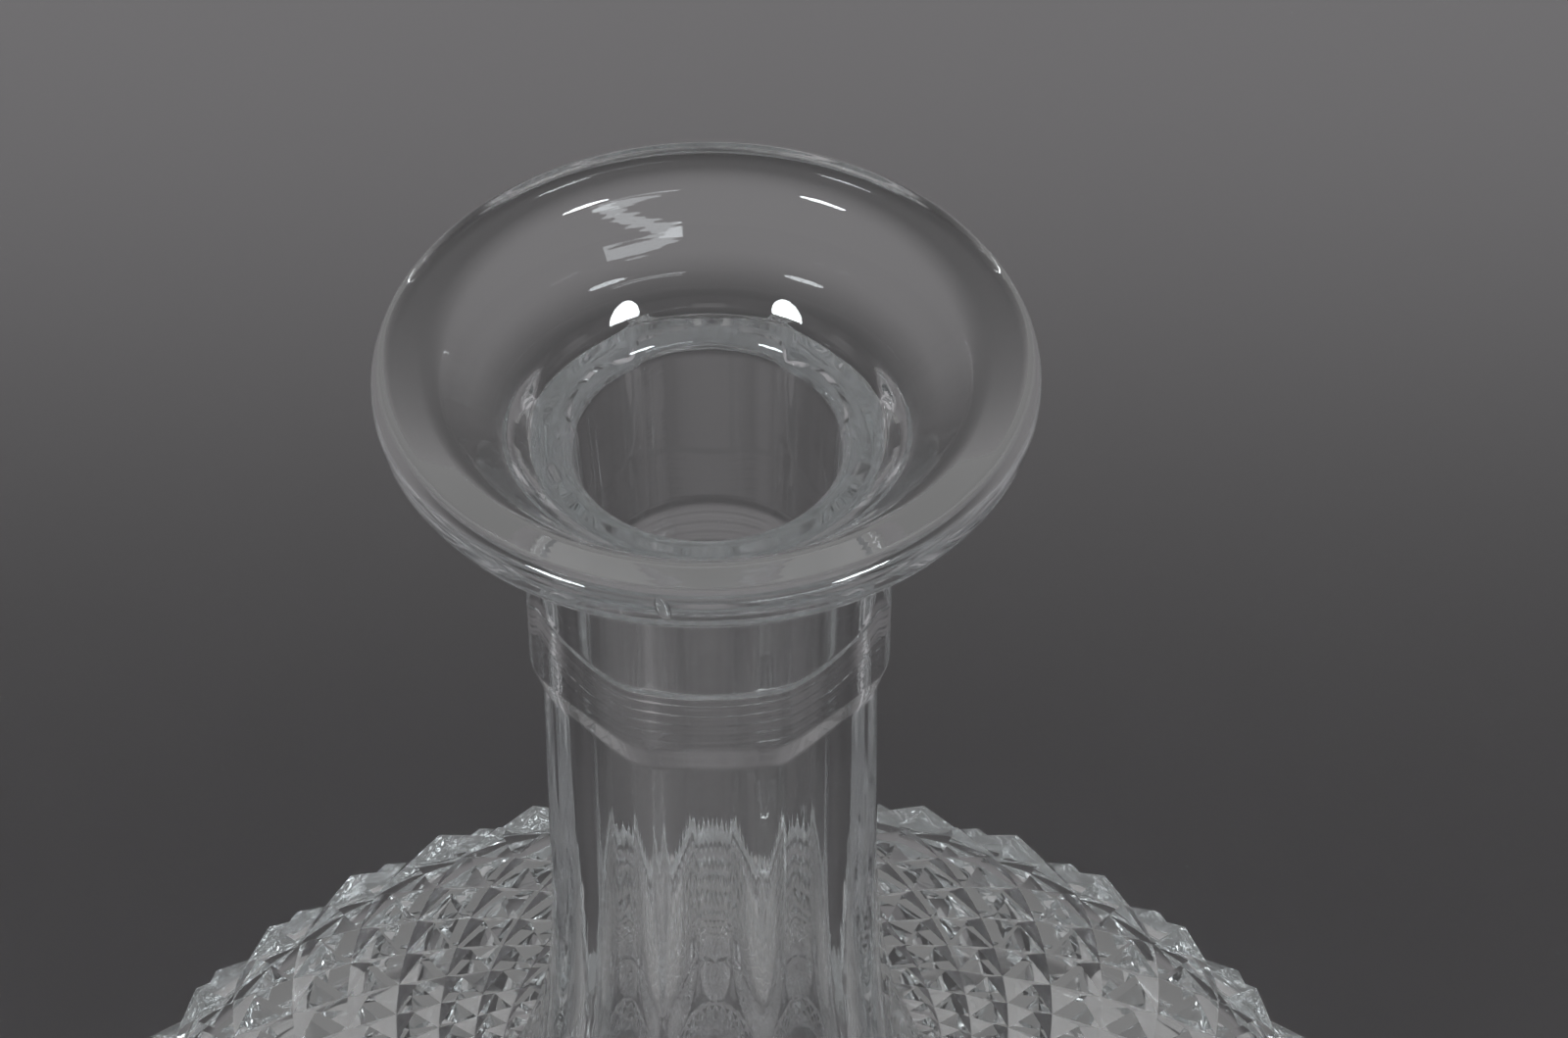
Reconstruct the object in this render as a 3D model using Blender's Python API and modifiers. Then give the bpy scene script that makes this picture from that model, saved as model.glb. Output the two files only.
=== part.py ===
"""Crystal decanter: a wide-based vessel of cut glass with an octagonal neck, and its ground stopper.

Metres, +Z up. The origin is the centre of the vessel's flat base. The photographed side faces -Y.
The stopper is out of the neck: it stands upside down beside the vessel, on the flat top of its head.
"""
import math
from collections import namedtuple

import bmesh
import bpy

# Vessel: overall
HEIGHT = 0.198            # base to the top of the lip
BODY_RADIUS = 0.094       # widest part of the body, over the points of the diamonds
BELLY_HEIGHT = 0.016      # height of the widest part
BASE_RADIUS = 0.080       # flat face that the vessel stands on
BASE_THICKNESS = 0.009    # glass under the cavity
BODY_WALL = 0.0075        # glass at the widest part
FLOOR_TURN = 0.015        # breadth of the curve from the cavity's floor into its wall

# Vessel: lip, funnel and throat
LIP_RADIUS = 0.034
BRIM_ROUND = 0.002        # upper edge of the lip
BRIM_FACE = 0.0004        # upright part of the lip's edge
BRIM_UNDERCUT = 0.0026    # lower edge of the lip
UNDERSIDE_SLOPE = 24.0    # degrees below level, lower face of the lip
LIP_FILLET = 0.008        # under the lip, into the collar
BAND_WIDTH = 0.0063       # nearly level band on top of the lip
BAND_SLOPE = 4.6          # degrees below level, inwards
BAND_ROUND = 0.0009       # worn edge between the band and the funnel
FUNNEL_TOP_SLOPE = 52.0   # degrees, the funnel below the band
FUNNEL_TOP_REACH = 0.007  # how far the funnel's curve follows that slope
FUNNEL_FOOT_SLOPE = 38.0  # degrees, the funnel above the ledge
FUNNEL_FOOT_REACH = 0.002
LEDGE_DEPTH = 0.0109      # level ledge round the throat, below the top of the lip
LEDGE_WIDTH = 0.00155
THROAT_RADIUS = 0.01385   # bore at the top of the stopper's seat
THROAT_ROUND = 0.0026     # rounded edge from the ledge into the bore
SEAT_LENGTH = 0.0196      # tapered seat of the stopper
SEAT_TAPER = 0.05         # loss of radius per unit of depth
SEAT_LEDGE = 0.0005       # step at the foot of the seat

# Vessel: octagonal collar and neck, measured to the corners of the octagon
COLLAR_RADIUS = 0.02094
COLLAR_BOTTOM = 0.0384    # below the top of the lip
BEVEL_HEIGHT = 0.0044
NECK_TOP_RADIUS = 0.0196
WAIST_RADIUS = 0.0198
WAIST_DEPTH = 0.0662      # below the top of the lip, where the neck starts to widen
NECK_REACH = 0.063        # how far the curve below the waist follows the neck down
SHOULDER_RADIUS = 0.050   # where the hollow curve of the shoulder meets the full curve of the body
SHOULDER_HEIGHT = 0.046
SHOULDER_SLOPE = 26.0     # degrees below level
SHOULDER_RISE = 0.0215    # how far the hollow curve follows that slope up
SHOULDER_FALL = 0.024     # how far the full curve follows it down
BELLY_REACH = 0.0155      # how far the full curve follows the belly up
PANEL_END_RADIUS = 0.0223  # the panels start to fade out on the shoulder here
DIAMOND_TOP_RADIUS = 0.0275  # the panels have faded out and the diamonds start here

# Vessel: cut pattern
PANELS = 8
DIAMONDS = 40             # around the body
DIAMOND_STRETCH = 1.05    # height over width of a diamond
MITRE_DEPTH = 0.0027      # depth of the crossed cuts at the widest part
DIAMOND_FOOT = 0.0055     # height at which the crossed cuts run out

# Stopper
STOPPER_CLEARANCE = 0.0001
PLUG_FOOT_GAP = 0.002     # seat left free below the plug
PLUG_LENGTH = SEAT_LENGTH - PLUG_FOOT_GAP
PLUG_SHOULDER = 0.0025    # plug above the top of the seat
PLUG_CHAMFER = 0.0015
STEM_RADIUS = 0.0085
STEM_LENGTH = 0.017       # plug's shoulder to the head
HEAD_FOOT_RADIUS = 0.012
HEAD_RADIUS = 0.025       # to the corners of the octagon
HEAD_TABLE_RADIUS = 0.0165
PAVILION_HEIGHT = 0.014
GIRDLE_HEIGHT = 0.006
CROWN_HEIGHT = 0.011
STOPPER_GAP = 0.015       # from the vessel's widest part to the standing stopper
STOPPER_BEARING = -40.0   # degrees from +X, seen from above

# Clear lead crystal
CRYSTAL_TINT = (0.93, 0.96, 0.95, 1.0)
CRYSTAL_ROUGHNESS = 0.02
CRYSTAL_IOR = 1.54

# Facets of the turned shapes
STOPPER_COLUMNS = 32
ROUND_SEGMENTS = 4
BRIM_SEGMENTS = 3
FUNNEL_SEGMENTS = 4
CURVE_SEGMENTS = 7
FLOOR_SEGMENTS = 3
FINE_STEPS = 400          # steps of the walk along the body's curve
MERGE_DISTANCE = 0.00001
SMOOTH_ANGLE = 15.0       # degrees, edges sharper than this stay crisp

# One ring of a turned profile: panel is the share of the octagonal cut, mitre the depth of the
# crossed cuts, and lattice the ring's number in the diamond pattern, or -1 outside it.
Ring = namedtuple("Ring", "radius height panel mitre lattice", defaults=(0.0, 0.0, -1.0))


def arc(centre, radius, start, end, segments=ROUND_SEGMENTS):
    """Points of a circular arc between two angles in degrees."""
    points = []
    for i in range(segments + 1):
        angle = math.radians(start + (end - start) * i / segments)
        points.append((centre[0] + radius * math.cos(angle), centre[1] + radius * math.sin(angle)))
    return points


def bezier(start, pull_start, pull_end, end, segments=CURVE_SEGMENTS):
    """Points of a cubic curve from start to end."""
    points = []
    for i in range(segments + 1):
        t = i / segments
        s = 1.0 - t
        weights = (s * s * s, 3 * s * s * t, 3 * s * t * t, t * t * t)
        corners = (start, pull_start, pull_end, end)
        points.append(tuple(sum(w * p[k] for w, p in zip(weights, corners)) for k in (0, 1)))
    return points


def along(point, reach, slope):
    """A point moved outwards by a reach at a slope in degrees, upwards where both are positive."""
    angle = math.radians(slope)
    return point[0] + reach * math.cos(angle), point[1] + reach * math.sin(angle)


def brim():
    """Edge of the lip, from the top of its band to its underside."""
    level = HEIGHT - BRIM_ROUND
    upper = arc((LIP_RADIUS - BRIM_ROUND, level), BRIM_ROUND, 90.0, 0.0, BRIM_SEGMENTS)
    low_centre = (LIP_RADIUS - BRIM_UNDERCUT, level - BRIM_FACE)
    return upper + arc(low_centre, BRIM_UNDERCUT, 0.0, UNDERSIDE_SLOPE - 90.0, BRIM_SEGMENTS)


def throat_level():
    """Height at which the rounded throat has become the straight bore."""
    return HEIGHT - LEDGE_DEPTH - THROAT_ROUND


def collar_level():
    """Height at which the fillet under the lip has become the collar."""
    slope = math.radians(UNDERSIDE_SLOPE)
    radius, height = brim()[-1]
    run = radius - (COLLAR_RADIUS + LIP_FILLET * (1 - math.sin(slope)))
    return height - LIP_FILLET * math.cos(slope) - run * math.tan(slope)


def seat_radius(depth):
    """Radius of the tapered seat at a depth below the throat."""
    return THROAT_RADIUS - SEAT_TAPER * depth


def shoulder(segments):
    """Outer curve from the waist of the neck to the belly, each half in a number of segments."""
    waist = (WAIST_RADIUS, HEIGHT - WAIST_DEPTH)
    middle = (SHOULDER_RADIUS, SHOULDER_HEIGHT)
    belly = (BODY_RADIUS, BELLY_HEIGHT)
    pull_up = along(middle, -SHOULDER_RISE, -SHOULDER_SLOPE)
    pull_down = along(middle, SHOULDER_FALL, -SHOULDER_SLOPE)
    hollow = bezier(waist, (waist[0], waist[1] - NECK_REACH), pull_up, middle, segments)
    full = bezier(middle, pull_down, (belly[0], belly[1] + BELLY_REACH), belly, segments)
    return hollow + full[1:]


def heel(segments):
    """Outer curve from the belly to the flat base."""
    belly = (BODY_RADIUS, BELLY_HEIGHT)
    base = (BASE_RADIUS, 0.0)
    middle = (BASE_RADIUS + BODY_RADIUS) / 2
    return bezier(belly, (belly[0], belly[1] / 2), (middle, 0.0), base, segments)


def offset_inward(points, first, last):
    """Points moved into the glass, by a thickness that goes from first to last."""
    moved = []
    for i, (radius, height) in enumerate(points):
        before = points[max(i - 1, 0)]
        after = points[min(i + 1, len(points) - 1)]
        run = after[0] - before[0]
        fall = before[1] - after[1]
        length = math.hypot(run, fall)
        wall = first + (last - first) * i / (len(points) - 1)
        moved.append((radius - wall * fall / length, height - wall * run / length))
    return moved


def cavity():
    """Inside of the vessel from the middle of its floor up to the ledge round the throat."""
    level = throat_level()
    foot = level - SEAT_LENGTH
    bore = seat_radius(SEAT_LENGTH) - SEAT_LEDGE
    wall = offset_inward(shoulder(CURVE_SEGMENTS), WAIST_RADIUS - bore, BODY_WALL)
    side = wall[-1]
    floor = (side[0] - FLOOR_TURN, BASE_THICKNESS)
    pull_floor = ((floor[0] + side[0]) / 2, floor[1])
    pull_side = (side[0], (floor[1] + side[1]) / 2)
    turn = bezier(floor, pull_floor, pull_side, side, FLOOR_SEGMENTS)
    points = [(0.0, BASE_THICKNESS)] + turn[:-1] + wall[::-1]
    points += [(bore, foot - SEAT_LEDGE), (seat_radius(SEAT_LENGTH), foot)]
    return points + arc((THROAT_RADIUS + THROAT_ROUND, level), THROAT_ROUND, 180.0, 90.0)


def lip():
    """Funnel from the ledge up to the band, the band and the edge of the lip."""
    edge = brim()
    ledge = (THROAT_RADIUS + THROAT_ROUND + LEDGE_WIDTH, HEIGHT - LEDGE_DEPTH)
    band_radius = LIP_RADIUS - BAND_WIDTH
    drop = (edge[0][0] - band_radius) * math.tan(math.radians(BAND_SLOPE))
    band = (band_radius, edge[0][1] - drop)
    pull_low = along(ledge, FUNNEL_FOOT_REACH, FUNNEL_FOOT_SLOPE)
    pull_high = along(band, -FUNNEL_TOP_REACH, FUNNEL_TOP_SLOPE)
    funnel = bezier(ledge, pull_low, pull_high, band, FUNNEL_SEGMENTS)
    worn = [along(band, -BAND_ROUND, FUNNEL_TOP_SLOPE), along(band, BAND_ROUND, BAND_SLOPE)]
    return funnel[:-1] + worn + edge


def underside():
    """Fillet under the lip, down to the collar."""
    centre = (COLLAR_RADIUS + LIP_FILLET, collar_level())
    return arc(centre, LIP_FILLET, 90.0 + UNDERSIDE_SLOPE, 180.0)


def lattice(curve):
    """Rings of the diamond pattern: each step down the curve keeps the diamonds' proportion."""
    distance = [0.0]
    for (r0, z0), (r1, z1) in zip(curve, curve[1:]):
        distance.append(distance[-1] + math.hypot(r1 - r0, z1 - z0) / ((r0 + r1) / 2))
    count = round(distance[-1] / (math.pi / DIAMONDS * DIAMOND_STRETCH))
    rings = []
    at = 0
    for i in range(count + 1):
        goal = distance[-1] * i / count
        while at < len(curve) - 2 and distance[at + 1] < goal:
            at += 1
        share = (goal - distance[at]) / (distance[at + 1] - distance[at])
        radius, height = (a + (b - a) * share for a, b in zip(curve[at], curve[at + 1]))
        depth = MITRE_DEPTH * radius / BODY_RADIUS if 0 < i < count else 0.0
        rings.append(Ring(radius, height, 0.0, depth, float(i)))
    return rings


def vessel_rings():
    """The whole turned section: up the inside, over the lip and down the outside."""
    rings = [Ring(*point) for point in cavity() + lip()]
    for i, point in enumerate(underside()):
        rings.append(Ring(*point, panel=max(0.0, 2 * i / ROUND_SEGMENTS - 1.0)))
    collar = HEIGHT - COLLAR_BOTTOM
    rings.append(Ring(COLLAR_RADIUS, collar, panel=1.0))
    rings.append(Ring(NECK_TOP_RADIUS, collar - BEVEL_HEIGHT, panel=1.0))
    fine = shoulder(FINE_STEPS) + heel(FINE_STEPS)[1:]
    for radius, height in shoulder(2 * CURVE_SEGMENTS):
        if radius < DIAMOND_TOP_RADIUS:
            fade = (radius - PANEL_END_RADIUS) / (DIAMOND_TOP_RADIUS - PANEL_END_RADIUS)
            rings.append(Ring(radius, height, panel=1.0 - max(0.0, fade)))
    cut = [p for p in fine if p[0] >= DIAMOND_TOP_RADIUS and p[1] >= DIAMOND_FOOT]
    rings += lattice(cut)
    rings += [Ring(*point) for point in heel(CURVE_SEGMENTS) if point[1] < DIAMOND_FOOT]
    return rings + [Ring(0.0, 0.0)]


def stopper_rings():
    """The stopper upright, with the top of the seat at height 0: head, stem and tapered plug."""
    foot = PLUG_SHOULDER + STEM_LENGTH
    girdle = foot + PAVILION_HEIGHT
    table = girdle + GIRDLE_HEIGHT + CROWN_HEIGHT
    head = ((HEAD_TABLE_RADIUS, table), (HEAD_RADIUS, girdle + GIRDLE_HEIGHT), (HEAD_RADIUS, girdle),
            (HEAD_FOOT_RADIUS, foot))
    top = seat_radius(-PLUG_SHOULDER) - STOPPER_CLEARANCE
    end = seat_radius(PLUG_LENGTH) - STOPPER_CLEARANCE
    rings = [Ring(0.0, table)] + [Ring(*point, panel=1.0) for point in head]
    stem = bezier(head[-1], (STEM_RADIUS, foot - STEM_LENGTH / 3),
                  (STEM_RADIUS, PLUG_SHOULDER + STEM_LENGTH / 3), (top, PLUG_SHOULDER))
    for i, point in enumerate(stem[1:], 1):
        rings.append(Ring(*point, panel=max(0.0, 1.0 - 2 * i / CURVE_SEGMENTS)))
    rings += [Ring(end, PLUG_CHAMFER - PLUG_LENGTH), Ring(end - PLUG_CHAMFER, -PLUG_LENGTH)]
    return rings + [Ring(0.0, -PLUG_LENGTH)], table


def turned(name, rings, columns):
    """Turn rings about +Z with a Screw modifier into a closed mesh that keeps their marks."""
    mesh = bpy.data.meshes.new(name)
    edges = [(i, i + 1) for i in range(len(rings) - 1)]
    mesh.from_pydata([(ring.radius, 0.0, ring.height) for ring in rings], edges, [])
    for mark in ("panel", "mitre", "lattice"):
        values = mesh.attributes.new(mark, "FLOAT", "POINT")
        values.data.foreach_set("value", [getattr(ring, mark) for ring in rings])
    profile = bpy.data.objects.new(name + "_profile", mesh)
    bpy.context.scene.collection.objects.link(profile)
    screw = profile.modifiers.new("turn", "SCREW")
    screw.steps = columns
    screw.render_steps = columns
    screw.use_merge_vertices = True
    screw.merge_threshold = MERGE_DISTANCE
    evaluated = profile.evaluated_get(bpy.context.evaluated_depsgraph_get())
    solid = bpy.data.meshes.new_from_object(evaluated)
    bpy.data.objects.remove(profile)
    bpy.data.meshes.remove(mesh)
    solid.name = name
    return solid


def cut_glass(mesh, columns):
    """Grind the flat panels and the crossed mitre cuts into a turned mesh."""
    grid = bmesh.new()
    grid.from_mesh(mesh)
    grid.normal_update()
    panel, mitre, ring = (grid.verts.layers.float[mark] for mark in ("panel", "mitre", "lattice"))
    half_panel = math.pi / PANELS

    def in_valley(vert):
        column = round(math.atan2(vert.co.y, vert.co.x) / (2 * math.pi / columns))
        return (column + round(vert[ring])) % 2 == 0

    moves = []
    for vert in grid.verts:
        place = vert.co.copy()
        if vert[panel] > 0.0:
            from_middle = (math.atan2(place.y, place.x) + half_panel) % (2 * half_panel) - half_panel
            flat = 1.0 - vert[panel] * (1.0 - math.cos(half_panel))
            shrink = min(1.0, flat / math.cos(from_middle))
            place.x *= shrink
            place.y *= shrink
        if vert[mitre] > 0.0 and in_valley(vert):
            place -= vert.normal * vert[mitre]
        moves.append((vert, place))
    crossed = [face for face in grid.faces if all(vert[ring] >= 0.0 for vert in face.verts)]
    valleys = [(face, [vert for vert in face.verts if in_valley(vert)]) for face in crossed]
    for vert, place in moves:
        vert.co = place
    for face, (first, second) in valleys:
        bmesh.utils.face_split(face, first, second)
    grid.to_mesh(mesh)
    grid.free()
    mesh.shade_smooth()
    mesh.set_sharp_from_angle(angle=math.radians(SMOOTH_ANGLE))


def crystal(name):
    """Material of one piece of crystal."""
    material = bpy.data.materials.new(name)
    material.use_nodes = True
    shader = material.node_tree.nodes["Principled BSDF"]
    shader.inputs["Base Color"].default_value = CRYSTAL_TINT
    shader.inputs["Metallic"].default_value = 0.0
    shader.inputs["Roughness"].default_value = CRYSTAL_ROUGHNESS
    shader.inputs["IOR"].default_value = CRYSTAL_IOR
    shader.inputs["Transmission Weight"].default_value = 1.0
    return material


def glass_piece(name, rings, columns, collection):
    """A named piece of cut glass from its turned section."""
    mesh = turned(name, rings, columns)
    cut_glass(mesh, columns)
    mesh.materials.append(crystal(name + "_crystal"))
    piece = bpy.data.objects.new(name, mesh)
    collection.objects.link(piece)
    return piece


def main():
    for leftover in list(bpy.data.objects):
        bpy.data.objects.remove(leftover)
    collection = bpy.data.collections.new("crystal_decanter")
    bpy.context.scene.collection.children.link(collection)

    glass_piece("decanter", vessel_rings(), 2 * DIAMONDS, collection)

    rings, table = stopper_rings()
    stopper = glass_piece("stopper", rings, STOPPER_COLUMNS, collection)
    reach = BODY_RADIUS + STOPPER_GAP + HEAD_RADIUS
    bearing = math.radians(STOPPER_BEARING)
    stopper.location = (reach * math.cos(bearing), reach * math.sin(bearing), table)
    stopper.rotation_euler = (math.pi, 0.0, 0.0)


main()
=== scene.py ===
"""Looks of the crystal decanter: polished cut glass, a plain pale floor, soft light and the camera.

Metres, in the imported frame: +Z up the vessel's axis, -Y towards the camera. Slopes and turns are in
degrees, apart from those of the ripples.
"""
import math
from collections import namedtuple

import bmesh
import bpy
import numpy as np
from mathutils import Euler, Matrix, Vector


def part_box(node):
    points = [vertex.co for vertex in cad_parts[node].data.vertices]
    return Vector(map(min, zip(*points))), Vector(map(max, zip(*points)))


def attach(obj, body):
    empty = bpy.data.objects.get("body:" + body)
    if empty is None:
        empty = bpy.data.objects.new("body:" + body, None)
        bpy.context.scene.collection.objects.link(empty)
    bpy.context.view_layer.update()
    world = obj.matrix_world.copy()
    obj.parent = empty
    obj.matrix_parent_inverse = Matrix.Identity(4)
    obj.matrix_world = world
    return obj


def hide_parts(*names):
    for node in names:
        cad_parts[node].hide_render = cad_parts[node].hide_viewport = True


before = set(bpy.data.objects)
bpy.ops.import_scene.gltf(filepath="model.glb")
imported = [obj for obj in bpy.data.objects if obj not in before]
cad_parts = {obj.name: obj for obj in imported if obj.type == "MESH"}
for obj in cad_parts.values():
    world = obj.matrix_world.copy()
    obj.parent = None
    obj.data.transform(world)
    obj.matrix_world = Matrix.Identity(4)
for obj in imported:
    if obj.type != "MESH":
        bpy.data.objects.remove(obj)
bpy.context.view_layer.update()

# Vessel: overall, as in the frame
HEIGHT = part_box("decanter")[1].z
BODY_RADIUS = 0.094       # widest part of the body, over the points of the diamonds
BELLY_HEIGHT = 0.016
BASE_RADIUS = 0.080
BASE_THICKNESS = 0.009
BODY_WALL = 0.0075
FLOOR_TURN = 0.015        # breadth of the curve from the cavity's floor into its wall

# Vessel: lip, funnel and throat, as in the frame
LIP_RADIUS = 0.034
BRIM_ROUND = 0.0020       # upper edge of the lip
BRIM_FACE = 0.0004        # upright part of the lip's edge
BRIM_UNDERCUT = 0.0026    # lower edge of the lip
UNDERSIDE_SLOPE = 24.0
LIP_FILLET = 0.008        # under the lip, into the collar
BAND_WIDTH = 0.0063       # nearly level band on top of the lip
BAND_SLOPE = 4.6
FUNNEL_TOP_SLOPE = 52.0
FUNNEL_TOP_REACH = 0.007
FUNNEL_FOOT_SLOPE = 38.0
FUNNEL_FOOT_REACH = 0.002
LEDGE_DEPTH = 0.0109      # level ledge round the throat, below the top of the lip
LEDGE_WIDTH = 0.00155
THROAT_RADIUS = 0.01385
THROAT_ROUND = 0.0026
SEAT_LENGTH = 0.0196      # tapered seat of the stopper
SEAT_TAPER = 0.05
SEAT_LEDGE = 0.0005       # narrowing at the foot of the seat

# Vessel: octagonal collar and neck, to the corners of the octagon, and the shoulder, as in the frame
COLLAR_RADIUS = 0.02094
COLLAR_BOTTOM = 0.0384    # below the top of the lip
BEVEL_HEIGHT = 0.0044
NECK_TOP_RADIUS = 0.0196
WAIST_RADIUS = 0.0198
WAIST_DEPTH = 0.0662      # below the top of the lip
NECK_REACH = 0.063
SHOULDER_RADIUS = 0.050
SHOULDER_HEIGHT = 0.046
SHOULDER_SLOPE = 26.0
SHOULDER_RISE = 0.0215
SHOULDER_FALL = 0.024
BELLY_REACH = 0.0155
PANEL_END_RADIUS = 0.0223  # the panels start to fade out on the shoulder here
DIAMOND_TOP_RADIUS = 0.0275

# Vessel: cut pattern, as in the frame
PANELS = 8
DIAMONDS = 40
DIAMOND_STRETCH = 1.05
MITRE_DEPTH = 0.0027
DIAMOND_FOOT = 0.0055

# Stopper, as in the frame
STOPPER_CLEARANCE = 0.0001
PLUG_FOOT_GAP = 0.002
PLUG_LENGTH = SEAT_LENGTH - PLUG_FOOT_GAP
PLUG_SHOULDER = 0.0025
PLUG_CHAMFER = 0.0015
STEM_RADIUS = 0.0085
STEM_LENGTH = 0.017
HEAD_FOOT_RADIUS = 0.012
HEAD_RADIUS = 0.025
HEAD_TABLE_RADIUS = 0.0165
PAVILION_HEIGHT = 0.014
GIRDLE_HEIGHT = 0.006
CROWN_HEIGHT = 0.011

# Finer roundings than the frame's
BAND_ROUND = 0.0014       # worn edge between the band and the funnel
LEDGE_FILLET = 0.0006     # foot of the funnel
SEAT_STEP = 3 * SEAT_LEDGE  # height of the curved step below the seat
EDGE_ROUNDING = 0.0005    # edges of the collar and the stopper's head
PANEL_ROUNDING = 0.075    # share of the radius over which the corner of two panels is rounded
PANEL_START = 0.75        # share of the fillet under the lip that stays round
CORNER_PULL = 0.6         # how far a rounded corner's curve is drawn towards the corner

# Fineness of the meshes
CELL_STEPS = 4            # mesh steps across half a diamond
COLUMNS = 2 * DIAMONDS * CELL_STEPS
STOPPER_COLUMNS = 192
ARC_STEPS = 12
EDGE_STEPS = 4
CURVE_STEPS = 48
FINE_STEPS = 400
FLAT_SHARES = (0.0, 0.25, 0.5, 0.75)  # rings of a flat round face, as shares of its radius
SHARP_ANGLE = 20.0
TINY = 1e-9

# Marks of the tool below the seat: each wave has its turn over the zone and its start, both in radians,
# and its weight
RIPPLE_DEPTH = 0.000015
RIPPLE_ZONE = 0.012
RIPPLE_STEPS = 60
RIPPLE_WAVES = ((47.0, 0.0, 1.0), (101.0, 1.0, 1.0), (173.0, 2.0, 0.7))

# Marks of the polishing in the funnel
POLISH_DEPTH = 0.0000004
POLISH_LENGTHS = (0.00055, 0.00083)
POLISH_STEPS = 160

# Flat oval air bubble in the front of the lip: it leans back, and its top is tilted to the left
BUBBLE_PLACE = (-0.00375, -0.03241, HEIGHT - 0.00208)
BUBBLE_RADII = (0.00061, 0.00025, 0.00105)
BUBBLE_LEAN = 41.8
BUBBLE_TILT = 40.0
BUBBLE_RINGS = 24
BUBBLE_COLUMNS = 32

# Clear lead crystal
CRYSTAL_IOR = 1.54
CRYSTAL_DEPTH_TINT = (0.83, 0.866, 0.875, 1.0)
CRYSTAL_DEPTH_DENSITY = 5.0
SMEAR_SCALE = 55.0        # faint smears of the polished surface
SMEAR_DETAIL = 4.0
SMEAR_ROUGHNESS = 0.03
GROUND_ROUGHNESS = 0.38   # added where the surface is ground
CHAMFER_GROUND = 0.3      # share of that on the foot of the stopper's plug
WAVE_SCALE = 70.0         # unevenness of the polished surface
WAVE_DETAIL = 2.0
WAVE_STRENGTH = 0.08
WAVE_HEIGHT = 0.0004

# Plain floor, a hair below the base
FLOOR_LEVEL = -0.0002
FLOOR_HALF = 3.0
FLOOR_COLOUR = (0.453, 0.440, 0.454, 1.0)
FLOOR_ROUGHNESS = 0.9
FLOOR_SPECULAR = 0.1

# Camera, fitted to the photograph
IMAGE_WIDTH = 1600
FOCAL_PIXELS = 4600
CAMERA_PLACE = (0.00789, -0.32704, 0.5164)
CAMERA_PITCH = 46.29      # below level
CAMERA_NEAR = 0.01
SENSOR_WIDTH = 36.0       # millimetres

# Lights that the glass shows, round a point in the funnel: bearing from -Y towards +X, elevation, turn,
# distance, width, height and radiance
GLASS_LIGHT_TARGET = (0.0, 0.02, 0.19)
GLASS_LIGHT_COLOUR = (0.91, 0.97, 1.0)
GlassLight = namedtuple("GlassLight", "shape bearing elevation turn distance width height radiance")
GLASS_LIGHTS = {
    "softbox_left": GlassLight("ELLIPSE", -53.0, 47.0, 0.0, 0.9, 0.24, 0.14, 25.0),
    "softbox_right": GlassLight("ELLIPSE", 55.0, 47.0, 0.0, 0.9, 0.24, 0.14, 25.0),
    "reflector_low": GlassLight("RECTANGLE", 30.5, 33.8, -5.8, 1.2, 0.63, 0.032, 4.0),
    "reflector_middle": GlassLight("RECTANGLE", 30.0, 36.6, -17.0, 1.2, 0.65, 0.032, 4.0),
    "reflector_high": GlassLight("RECTANGLE", 31.0, 39.0, -7.6, 1.2, 0.64, 0.032, 4.0),
}

# Lights over the floor, which shine straight down and that the glass doesn't show: place, width, depth
# and radiance
FloorLight = namedtuple("FloorLight", "place width depth radiance")
FLOOR_LIGHTS = {
    "floor_light_back": FloorLight((0.0, 1.6, 0.096), 6.0, 2.8, 0.36),
    "floor_light_front": FloorLight((0.0, -1.45, 0.06), 6.0, 2.8, 0.85),
    "floor_light_left": FloorLight((-1.7, 0.075, 0.096), 2.6, 0.25, 0.35),
    "floor_light_right": FloorLight((1.7, 0.075, 0.096), 2.6, 0.25, 0.35),
    "floor_light_top": FloorLight((0.0, 0.0, 1.5), 1.5, 1.5, 0.14),
}

# Light that the cut glass gathers on the floor under its base: middle, width, depth and radiance
FloorGlow = namedtuple("FloorGlow", "x y width depth radiance")
FLOOR_GLOWS = {
    "glow_left": FloorGlow(-0.058, 0.045, 0.08, 0.07, 0.21),
    "glow_right": FloorGlow(0.058, 0.045, 0.08, 0.07, 0.21),
}

# Light of the room, from its walls to the ceiling
ROOM_WALLS = 0.17
ROOM_CEILING = 0.25
WHITE = (1.0, 1.0, 1.0, 1.0)

# Light that goes to and fro inside thick glass before it comes out
GLASS_BOUNCES = 40

# A ring of a turned section: panel is the share of the octagonal cut, row the ring's place in the
# diamond pattern, mitre the depth of the crossed cuts and ground how matt the surface is.
Ring = namedtuple("Ring", "radius height panel row mitre ground", defaults=(0.0, 0.0, 0.0, 0.0))


def arc(centre, radius, start, end, steps=ARC_STEPS):
    """Points of a circular arc between two angles in degrees."""
    angles = np.radians(np.linspace(start, end, steps + 1))
    return [(centre[0] + radius * math.cos(a), centre[1] + radius * math.sin(a)) for a in angles]


def bezier(start, pull_start, pull_end, end, steps=CURVE_STEPS):
    """Points of a cubic curve from start to end."""
    t = np.linspace(0.0, 1.0, steps + 1)[:, None]
    corners = np.array((start, pull_start, pull_end, end))
    weights = np.hstack(((1 - t) ** 3, 3 * t * (1 - t) ** 2, 3 * t**2 * (1 - t), t**3))
    return [tuple(point) for point in weights @ corners]


def along(point, reach, slope):
    """A point moved outwards by a reach at a slope, upwards where both are positive."""
    angle = math.radians(slope)
    return point[0] + reach * math.cos(angle), point[1] + reach * math.sin(angle)


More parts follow.
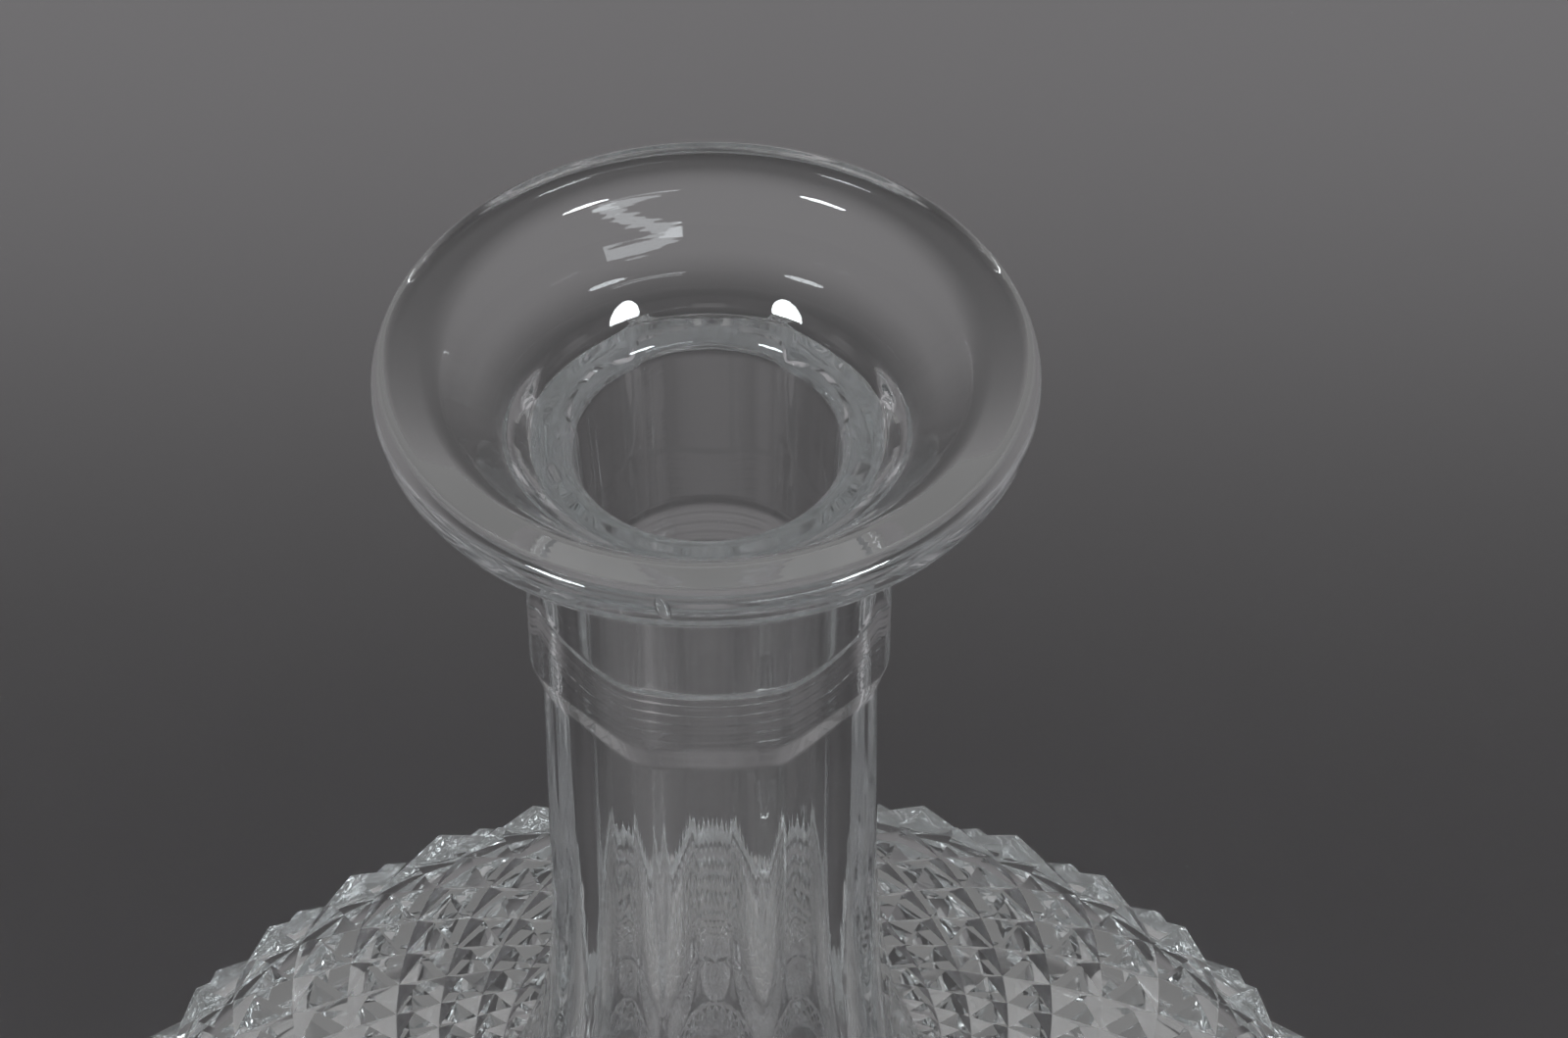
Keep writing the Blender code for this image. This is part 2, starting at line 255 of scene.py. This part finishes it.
def rounded(before, corner, after, reach=EDGE_ROUNDING, steps=EDGE_STEPS):
    """A corner of a section, rounded over a reach to either side."""
    corner = Vector(corner)
    start = corner + (Vector(before) - corner).normalized() * reach
    end = corner + (Vector(after) - corner).normalized() * reach
    return bezier(start, start.lerp(corner, CORNER_PULL), end.lerp(corner, CORNER_PULL), end, steps)


def outward(points):
    """Unit normals of a section, to the left of its run."""
    run = np.gradient(np.array(points), axis=0)
    run /= np.linalg.norm(run, axis=1, keepdims=True)
    return np.stack((-run[:, 1], run[:, 0]), axis=1)


def brim():
    """Edge of the lip, from its flat band to its underside."""
    level = HEIGHT - BRIM_ROUND
    upper = arc((LIP_RADIUS - BRIM_ROUND, level), BRIM_ROUND, 90.0 + BAND_SLOPE, 0.0)
    low_centre = (LIP_RADIUS - BRIM_UNDERCUT, level - BRIM_FACE)
    return upper + arc(low_centre, BRIM_UNDERCUT, 0.0, UNDERSIDE_SLOPE - 90.0)


def throat_level():
    """Height at which the rounded throat has become the straight bore."""
    return HEIGHT - LEDGE_DEPTH - THROAT_ROUND


def collar_level():
    """Height at which the fillet under the lip has become the collar."""
    slope = math.radians(UNDERSIDE_SLOPE)
    radius, height = brim()[-1]
    run = radius - (COLLAR_RADIUS + LIP_FILLET * (1 - math.sin(slope)))
    return height - LIP_FILLET * math.cos(slope) - run * math.tan(slope)


def seat_radius(depth):
    """Radius of the tapered seat at a depth below the throat."""
    return THROAT_RADIUS - SEAT_TAPER * depth


def bore_radius():
    """Radius of the bore below the seat."""
    return seat_radius(SEAT_LENGTH) - SEAT_LEDGE


def shoulder(steps):
    """Outer curve from the waist of the neck over the shoulder to the belly."""
    waist = (WAIST_RADIUS, HEIGHT - WAIST_DEPTH)
    middle = (SHOULDER_RADIUS, SHOULDER_HEIGHT)
    belly = (BODY_RADIUS, BELLY_HEIGHT)
    pull_up = along(middle, -SHOULDER_RISE, -SHOULDER_SLOPE)
    pull_down = along(middle, SHOULDER_FALL, -SHOULDER_SLOPE)
    above = bezier(waist, (waist[0], waist[1] - NECK_REACH), pull_up, middle, steps // 2)
    below = bezier(middle, pull_down, (belly[0], belly[1] + BELLY_REACH), belly, steps // 2)
    return above + below[1:]


def heel(steps):
    """Outer curve from the belly to the flat base."""
    belly = (BODY_RADIUS, BELLY_HEIGHT)
    base = (BASE_RADIUS, 0.0)
    return bezier(belly, (belly[0], belly[1] / 2), ((base[0] + belly[0]) / 2, 0.0), base, steps)


def ripples():
    """Fine turned marks on the bore, from their lower end up to the step below the seat."""
    top = throat_level() - SEAT_LENGTH - SEAT_STEP
    points = []
    for i in range(RIPPLE_STEPS):
        share = i / RIPPLE_STEPS
        wave = sum(weight * math.sin(turn * share + start) for turn, start, weight in RIPPLE_WAVES)
        points.append((bore_radius() + RIPPLE_DEPTH * wave * share, top - RIPPLE_ZONE * (1 - share)))
    return points


def polished(points):
    """The wall of the funnel with the faint marks of its polishing, which fade out towards its foot."""
    places = np.array(points)
    steps = np.linalg.norm(np.diff(places, axis=0), axis=1)
    run = np.concatenate(([0.0], np.cumsum(steps)))
    wave = sum(np.sin(2 * math.pi * run / length) for length in POLISH_LENGTHS)
    depth = POLISH_DEPTH * wave * run / run[-1]
    return [tuple(point) for point in places + outward(points) * depth[:, None]]


def body_inside():
    """Inside of the body from the middle of its floor up to the waist of the neck."""
    outer = np.array(shoulder(2 * CURVE_STEPS))
    wall = np.linspace(WAIST_RADIUS - bore_radius(), BODY_WALL, len(outer))[:, None]
    inner = [tuple(point) for point in outer - outward(outer) * wall]
    side = inner[-1]
    edge = (side[0] - FLOOR_TURN, BASE_THICKNESS)
    pull_edge = ((edge[0] + side[0]) / 2, edge[1])
    pull_side = (side[0], (edge[1] + side[1]) / 2)
    turn = bezier(edge, pull_edge, pull_side, side, ARC_STEPS)
    middle = [(edge[0] * share, BASE_THICKNESS) for share in FLAT_SHARES]
    return middle + turn[:-1] + inner[::-1]


def neck_inside():
    """Inside of the neck from the turned marks over the seat to the ledge round the throat."""
    level = throat_level()
    bore = bore_radius()
    seat = seat_radius(SEAT_LENGTH)
    foot = level - SEAT_LENGTH
    half_way = foot - SEAT_STEP / 2
    step = bezier((bore, foot - SEAT_STEP), (bore, half_way), (seat, half_way), (seat, foot), ARC_STEPS)
    throat = arc((THROAT_RADIUS + THROAT_ROUND, level), THROAT_ROUND, 180.0, 90.0)
    return ripples() + step + throat


def lip():
    """Ledge round the throat, the funnel, the flat band and the rounded edge of the lip."""
    edge = brim()
    level = HEIGHT - LEDGE_DEPTH
    ledge = (THROAT_RADIUS + THROAT_ROUND + LEDGE_WIDTH, level)
    band_radius = LIP_RADIUS - BAND_WIDTH
    drop = (edge[0][0] - band_radius) * math.tan(math.radians(BAND_SLOPE))
    band = (band_radius, edge[0][1] - drop)
    pull_low = along(ledge, FUNNEL_FOOT_REACH, FUNNEL_FOOT_SLOPE)
    pull_high = along(band, -FUNNEL_TOP_REACH, FUNNEL_TOP_SLOPE)
    wall = polished(bezier(ledge, pull_low, pull_high, band, POLISH_STEPS))
    foot = rounded((THROAT_RADIUS, level), ledge, pull_low, LEDGE_FILLET, ARC_STEPS)
    crest = rounded(pull_high, band, edge[0], BAND_ROUND, ARC_STEPS)
    between = [point for point in wall if foot[-1][0] < point[0] < crest[0][0]]
    return foot + between + crest + edge


def collar_rings():
    """Fillet under the lip, where the panels start, the collar and the bevel down to the neck."""
    centre = (COLLAR_RADIUS + LIP_FILLET, collar_level())
    fillet = arc(centre, LIP_FILLET, 90.0 + UNDERSIDE_SLOPE, 180.0)
    rings = []
    for i, point in enumerate(fillet):
        share = (i / ARC_STEPS - PANEL_START) / (1 - PANEL_START)
        rings.append(Ring(*point, panel=max(0.0, share)))
    collar = (COLLAR_RADIUS, HEIGHT - COLLAR_BOTTOM)
    neck = (NECK_TOP_RADIUS, HEIGHT - COLLAR_BOTTOM - BEVEL_HEIGHT)
    waist = (WAIST_RADIUS, HEIGHT - WAIST_DEPTH)
    bevel = rounded(fillet[-1], collar, neck) + rounded(collar, neck, waist)
    return rings + [Ring(*point, panel=1.0) for point in bevel]


def neck_rings():
    """The panelled neck, whose panels fade out on the shoulder."""
    rings = []
    for radius, height in shoulder(2 * CURVE_STEPS):
        if radius < DIAMOND_TOP_RADIUS:
            fade = (radius - PANEL_END_RADIUS) / (DIAMOND_TOP_RADIUS - PANEL_END_RADIUS)
            rings.append(Ring(radius, height, panel=1.0 - max(0.0, fade)))
    return rings


def lattice(curve):
    """Rings of the diamond pattern: each step down the curve keeps the diamonds' proportion."""
    points = np.array(curve)
    step = np.linalg.norm(np.diff(points, axis=0), axis=1) / ((points[1:, 0] + points[:-1, 0]) / 2)
    distance = np.concatenate(([0.0], np.cumsum(step)))
    count = round(distance[-1] / (math.pi / DIAMONDS * DIAMOND_STRETCH))
    rings = []
    for row in np.linspace(0.0, count, count * CELL_STEPS + 1):
        goal = distance[-1] * row / count
        radius = float(np.interp(goal, distance, points[:, 0]))
        height = float(np.interp(goal, distance, points[:, 1]))
        run_out = min(1.0, row, count - row)
        depth = MITRE_DEPTH * radius / BODY_RADIUS * run_out
        rings.append(Ring(radius, height, row=row, mitre=depth))
    return rings


def vessel_rings():
    """The whole turned section: up the inside, over the lip and down the outside."""
    rings = [Ring(*point) for point in body_inside() + neck_inside() + lip()]
    rings += collar_rings() + neck_rings()
    fine = shoulder(FINE_STEPS) + heel(FINE_STEPS)[1:]
    above_foot = [point for point in fine if point[1] >= DIAMOND_FOOT]
    rings += lattice([point for point in above_foot if point[0] >= DIAMOND_TOP_RADIUS])
    rings += [Ring(*point) for point in heel(2 * ARC_STEPS) if point[1] < DIAMOND_FOOT]
    return rings + [Ring(BASE_RADIUS * share, 0.0) for share in reversed(FLAT_SHARES)]


def stopper_rings():
    """The stopper upright, with the top of the seat at height 0: head, stem and ground plug."""
    foot = PLUG_SHOULDER + STEM_LENGTH
    girdle = foot + PAVILION_HEIGHT
    table = girdle + GIRDLE_HEIGHT + CROWN_HEIGHT
    head = [(0.0, table), (HEAD_TABLE_RADIUS, table), (HEAD_RADIUS, girdle + GIRDLE_HEIGHT),
            (HEAD_RADIUS, girdle), (HEAD_FOOT_RADIUS, foot)]
    top = seat_radius(-PLUG_SHOULDER) - STOPPER_CLEARANCE
    end = seat_radius(PLUG_LENGTH) - STOPPER_CLEARANCE
    rings = [Ring(0.0, table), Ring(HEAD_TABLE_RADIUS / 2, table, panel=1.0)]
    for before, corner, after in zip(head, head[1:], head[2:]):
        rings += [Ring(*point, panel=1.0) for point in rounded(before, corner, after)]
    stem = bezier(head[-1], (STEM_RADIUS, foot - STEM_LENGTH / 3),
                  (STEM_RADIUS, PLUG_SHOULDER + STEM_LENGTH / 3), (top, PLUG_SHOULDER))
    for i, point in enumerate(stem):
        rings.append(Ring(*point, panel=max(0.0, 1.0 - 2 * i / CURVE_STEPS)))
    rings.append(Ring(top, PLUG_SHOULDER, ground=1.0))
    rings.append(Ring(end, PLUG_CHAMFER - PLUG_LENGTH, ground=1.0))
    rings.append(Ring(end - PLUG_CHAMFER, -PLUG_LENGTH, ground=CHAMFER_GROUND))
    return rings + [Ring(0.0, -PLUG_LENGTH)]


def smooth_min(a, b, width):
    """The lesser of two arrays, with the corner between them rounded."""
    overlap = np.clip(1.0 - np.abs(a - b) / np.maximum(width, TINY), 0.0, 1.0)
    return np.minimum(a, b) - overlap**2 * width / 4


def panelled(angle, panel):
    """Share of the radius that the flat panels leave at an angle about the axis."""
    half = math.pi / PANELS
    from_middle = np.abs((angle + half) % (2 * half) - half)
    flat = 1.0 - panel * (1.0 - math.cos(half))
    rounding = PANEL_ROUNDING * panel
    corners = smooth_min(flat / np.cos(from_middle), flat / np.cos(2 * half - from_middle), rounding)
    return smooth_min(corners, 1.0, rounding)


def off_peak(place):
    """Distance from the nearest line of diamond points, 0 on it and 1 in the valley between two."""
    return np.abs(place % 2.0 - 1.0)


def facets(number, cut):
    """Faces between numbered rings of points, split along the ridges and valleys of the crossed cuts."""
    faces = []
    for upper, lower, cut_upper, cut_lower in zip(number, number[1:], cut, cut[1:]):
        deep = cut_upper + np.roll(cut_lower, -1) - cut_lower - np.roll(cut_upper, -1)
        corners = zip(upper, lower, np.roll(lower, -1), np.roll(upper, -1))
        for (a, b, c, d), twist in zip(corners, deep):
            if a == d:
                faces.append((a, b, c))
            elif b == c:
                faces.append((a, b, d))
            elif abs(twist) < TINY:
                faces.append((a, b, c, d))
            elif twist > 0:
                faces += [(a, b, c), (a, c, d)]
            else:
                faces += [(a, b, d), (b, c, d)]
    return faces


def turned(name, rings, columns):
    """A closed mesh of rings turned about +Z, with their panels and crossed cuts."""
    radius, height, panel, row, mitre, ground = (np.array(column)[:, None] for column in zip(*rings))
    angle = np.arange(columns) * 2 * math.pi / columns
    across = angle / (2 * math.pi) * 2 * DIAMONDS
    cut = mitre * np.maximum(off_peak(across + row), off_peak(across - row))
    normal = outward(np.hstack((radius, height)))
    reach = radius * panelled(angle, panel) - cut * normal[:, :1]
    level = height - cut * normal[:, 1:]
    place = np.stack((reach * np.cos(angle), reach * np.sin(angle), level), axis=2)

    number = np.arange(len(rings))[:, None] * columns + np.arange(columns)
    poles = radius[:, 0] == 0.0
    number[poles] = number[poles][:, :1]
    used, renumbered = np.unique(number, return_inverse=True)
    renumbered = renumbered.reshape(number.shape)
    mesh = bpy.data.meshes.new(name)
    mesh.from_pydata(place.reshape(-1, 3)[used], [], facets(renumbered, cut))
    matt = mesh.attributes.new("ground", "FLOAT", "POINT")
    matt.data.foreach_set("value", np.broadcast_to(ground, cut.shape).ravel()[used])
    mesh.shade_smooth()
    mesh.set_sharp_from_angle(angle=math.radians(SHARP_ANGLE))
    return mesh


def linked(name, data):
    """A new object in the scene."""
    piece = bpy.data.objects.new(name, data)
    bpy.context.scene.collection.objects.link(piece)
    return piece


def add_bubble(mesh):
    """A small air bubble in the lip: a flattened ball in the same mesh, with its faces turned inwards."""
    side = arc((0.0, 0.0), 1.0, -90.0, 90.0, BUBBLE_RINGS)[1:-1]
    rings = [Ring(0.0, -1.0)] + [Ring(*point) for point in side] + [Ring(0.0, 1.0)]
    ball = turned("bubble", rings, BUBBLE_COLUMNS)
    lean = Matrix.Rotation(math.radians(-BUBBLE_LEAN), 4, "X")
    tilt = Matrix.Rotation(math.radians(-BUBBLE_TILT), 4, "Y")
    ball.transform(Matrix.Translation(BUBBLE_PLACE) @ lean @ tilt @ Matrix.Diagonal((*BUBBLE_RADII, 1.0)))
    glass = bmesh.new()
    glass.from_mesh(mesh)
    glass.from_mesh(ball)
    glass.to_mesh(mesh)
    glass.free()
    bpy.data.meshes.remove(ball)


def noise(nodes, links, coordinates, scale, detail):
    """Noise in the piece's own metres."""
    texture = nodes.new("ShaderNodeTexNoise")
    texture.inputs["Scale"].default_value = scale
    texture.inputs["Detail"].default_value = detail
    links.new(coordinates.outputs["Object"], texture.inputs["Vector"])
    return texture.outputs["Fac"]


def mapped(nodes, links, value, low, high):
    """A value between 0 and 1 taken to a range."""
    node = nodes.new("ShaderNodeMapRange")
    node.inputs["To Min"].default_value = low
    node.inputs["To Max"].default_value = high
    links.new(value, node.inputs["Value"])
    return node.outputs["Result"]


def crystal(name):
    """Polished lead crystal: faintly uneven from the hand polish, matt where it is ground."""
    material = bpy.data.materials.new(name)
    material.use_nodes = True
    nodes = material.node_tree.nodes
    links = material.node_tree.links
    shader = nodes["Principled BSDF"]
    shader.inputs["Base Color"].default_value = WHITE
    shader.inputs["IOR"].default_value = CRYSTAL_IOR
    shader.inputs["Transmission Weight"].default_value = 1.0
    coordinates = nodes.new("ShaderNodeTexCoord")

    smear = noise(nodes, links, coordinates, SMEAR_SCALE, SMEAR_DETAIL)
    ground = nodes.new("ShaderNodeAttribute")
    ground.attribute_name = "ground"
    matt = nodes.new("ShaderNodeMath")
    matt.operation = "MULTIPLY_ADD"
    matt.inputs[1].default_value = GROUND_ROUGHNESS
    links.new(ground.outputs["Fac"], matt.inputs[0])
    links.new(mapped(nodes, links, smear, 0.0, SMEAR_ROUGHNESS), matt.inputs[2])
    links.new(matt.outputs["Value"], shader.inputs["Roughness"])

    bump = nodes.new("ShaderNodeBump")
    bump.inputs["Strength"].default_value = WAVE_STRENGTH
    bump.inputs["Distance"].default_value = WAVE_HEIGHT
    links.new(noise(nodes, links, coordinates, WAVE_SCALE, WAVE_DETAIL), bump.inputs["Height"])
    links.new(bump.outputs["Normal"], shader.inputs["Normal"])

    depth = nodes.new("ShaderNodeVolumeAbsorption")
    depth.inputs["Color"].default_value = CRYSTAL_DEPTH_TINT
    depth.inputs["Density"].default_value = CRYSTAL_DEPTH_DENSITY
    links.new(depth.outputs["Volume"], nodes["Material Output"].inputs["Volume"])
    return material


def dress(piece, node, body, slot):
    """Put a finished piece in a node's place."""
    piece.data.materials.append(crystal(slot))
    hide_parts(node)
    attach(piece, body)


def vessel():
    """The vessel, with the bubble in its lip."""
    mesh = turned("vessel", vessel_rings(), COLUMNS)
    add_bubble(mesh)
    piece = linked("vessel", mesh)
    dress(piece, "decanter", "decanter", "vessel_crystal")


def stopper():
    """The stopper, upside down on the flat top of its head."""
    low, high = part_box("stopper")
    piece = linked("stopper_cut", turned("stopper_cut", stopper_rings(), STOPPER_COLUMNS))
    piece.rotation_euler = (math.pi, 0.0, 0.0)
    piece.location = ((low.x + high.x) / 2, (low.y + high.y) / 2, high.z - PLUG_LENGTH)
    dress(piece, "stopper", "stopper", "stopper_crystal")


def floor():
    """A plain pale floor under the decanter."""
    mesh = bpy.data.meshes.new("floor")
    corners = [(-FLOOR_HALF, -FLOOR_HALF, 0.0), (FLOOR_HALF, -FLOOR_HALF, 0.0),
               (FLOOR_HALF, FLOOR_HALF, 0.0), (-FLOOR_HALF, FLOOR_HALF, 0.0)]
    mesh.from_pydata(corners, [], [(0, 1, 2, 3)])
    material = bpy.data.materials.new("floor_paper")
    material.use_nodes = True
    shader = material.node_tree.nodes["Principled BSDF"]
    shader.inputs["Base Color"].default_value = FLOOR_COLOUR
    shader.inputs["Roughness"].default_value = FLOOR_ROUGHNESS
    shader.inputs["Specular IOR Level"].default_value = FLOOR_SPECULAR
    mesh.materials.append(material)
    piece = linked("floor", mesh)
    piece.location.z = FLOOR_LEVEL


def area_light(name, shape, width, height, radiance):
    """A soft light with an even glow."""
    light = bpy.data.lights.new(name, "AREA")
    light.shape = shape
    light.size = width
    light.size_y = height
    light.energy = radiance * math.pi * width * height
    return linked(name, light)


def glass_light(name, lamp):
    """A soft light that only the glass shows, facing the funnel."""
    piece = area_light(name, lamp.shape, lamp.width, lamp.height, lamp.radiance)
    piece.data.color = GLASS_LIGHT_COLOUR
    turn = Euler((math.radians(90.0 - lamp.elevation), 0.0, math.radians(lamp.bearing))).to_matrix()
    piece.location = Vector(GLASS_LIGHT_TARGET) + turn @ Vector((0.0, 0.0, lamp.distance))
    piece.rotation_euler = (turn @ Matrix.Rotation(math.radians(lamp.turn), 3, "Z")).to_euler()
    piece.visible_diffuse = False


def floor_light(name, lamp):
    """A soft light that only the floor gets."""
    piece = area_light(name, "RECTANGLE", lamp.width, lamp.depth, lamp.radiance)
    piece.location = lamp.place
    piece.visible_camera = False
    piece.visible_glossy = False
    piece.visible_transmission = False


def floor_glow(name, glow):
    """A pool of light on the floor, which shows only through the glass."""
    piece = area_light(name, "ELLIPSE", glow.width, glow.depth, glow.radiance)
    piece.location = (glow.x, glow.y, FLOOR_LEVEL / 2)
    piece.rotation_euler = (math.pi, 0.0, 0.0)
    piece.visible_camera = False
    piece.visible_diffuse = False


def room():
    """The room that the glass shows, paler towards the ceiling."""
    world = bpy.data.worlds.new("room")
    world.use_nodes = True
    nodes = world.node_tree.nodes
    links = world.node_tree.links
    coordinates = nodes.new("ShaderNodeTexCoord")
    split = nodes.new("ShaderNodeSeparateXYZ")
    links.new(coordinates.outputs["Generated"], split.inputs["Vector"])
    strength = mapped(nodes, links, split.outputs["Z"], ROOM_WALLS, ROOM_CEILING)
    links.new(strength, nodes["Background"].inputs["Strength"])
    nodes["Background"].inputs["Color"].default_value = WHITE
    bpy.context.scene.world = world
    world.cycles_visibility.diffuse = False


def lights():
    """The lights for the glass and the floor, the glow under the base, and the room."""
    for name, lamp in GLASS_LIGHTS.items():
        glass_light(name, lamp)
    for name, lamp in FLOOR_LIGHTS.items():
        floor_light(name, lamp)
    for name, glow in FLOOR_GLOWS.items():
        floor_glow(name, glow)
    room()


def light_paths():
    """Enough bounces for the reflections inside the glass, and colours shown as they are."""
    scene = bpy.context.scene
    scene.view_settings.view_transform = "Standard"
    scene.cycles.max_bounces = GLASS_BOUNCES
    scene.cycles.glossy_bounces = GLASS_BOUNCES
    scene.cycles.transmission_bounces = GLASS_BOUNCES


def camera():
    """The photograph's view, from above and in front of the lip."""
    data = bpy.data.cameras.new("camera")
    data.sensor_width = SENSOR_WIDTH
    data.lens = FOCAL_PIXELS / IMAGE_WIDTH * SENSOR_WIDTH
    data.clip_start = CAMERA_NEAR
    piece = linked("camera", data)
    piece.location = CAMERA_PLACE
    piece.rotation_euler = (math.radians(90.0 - CAMERA_PITCH), 0.0, 0.0)
    bpy.context.scene.camera = piece


vessel()
stopper()
floor()
lights()
camera()
light_paths()
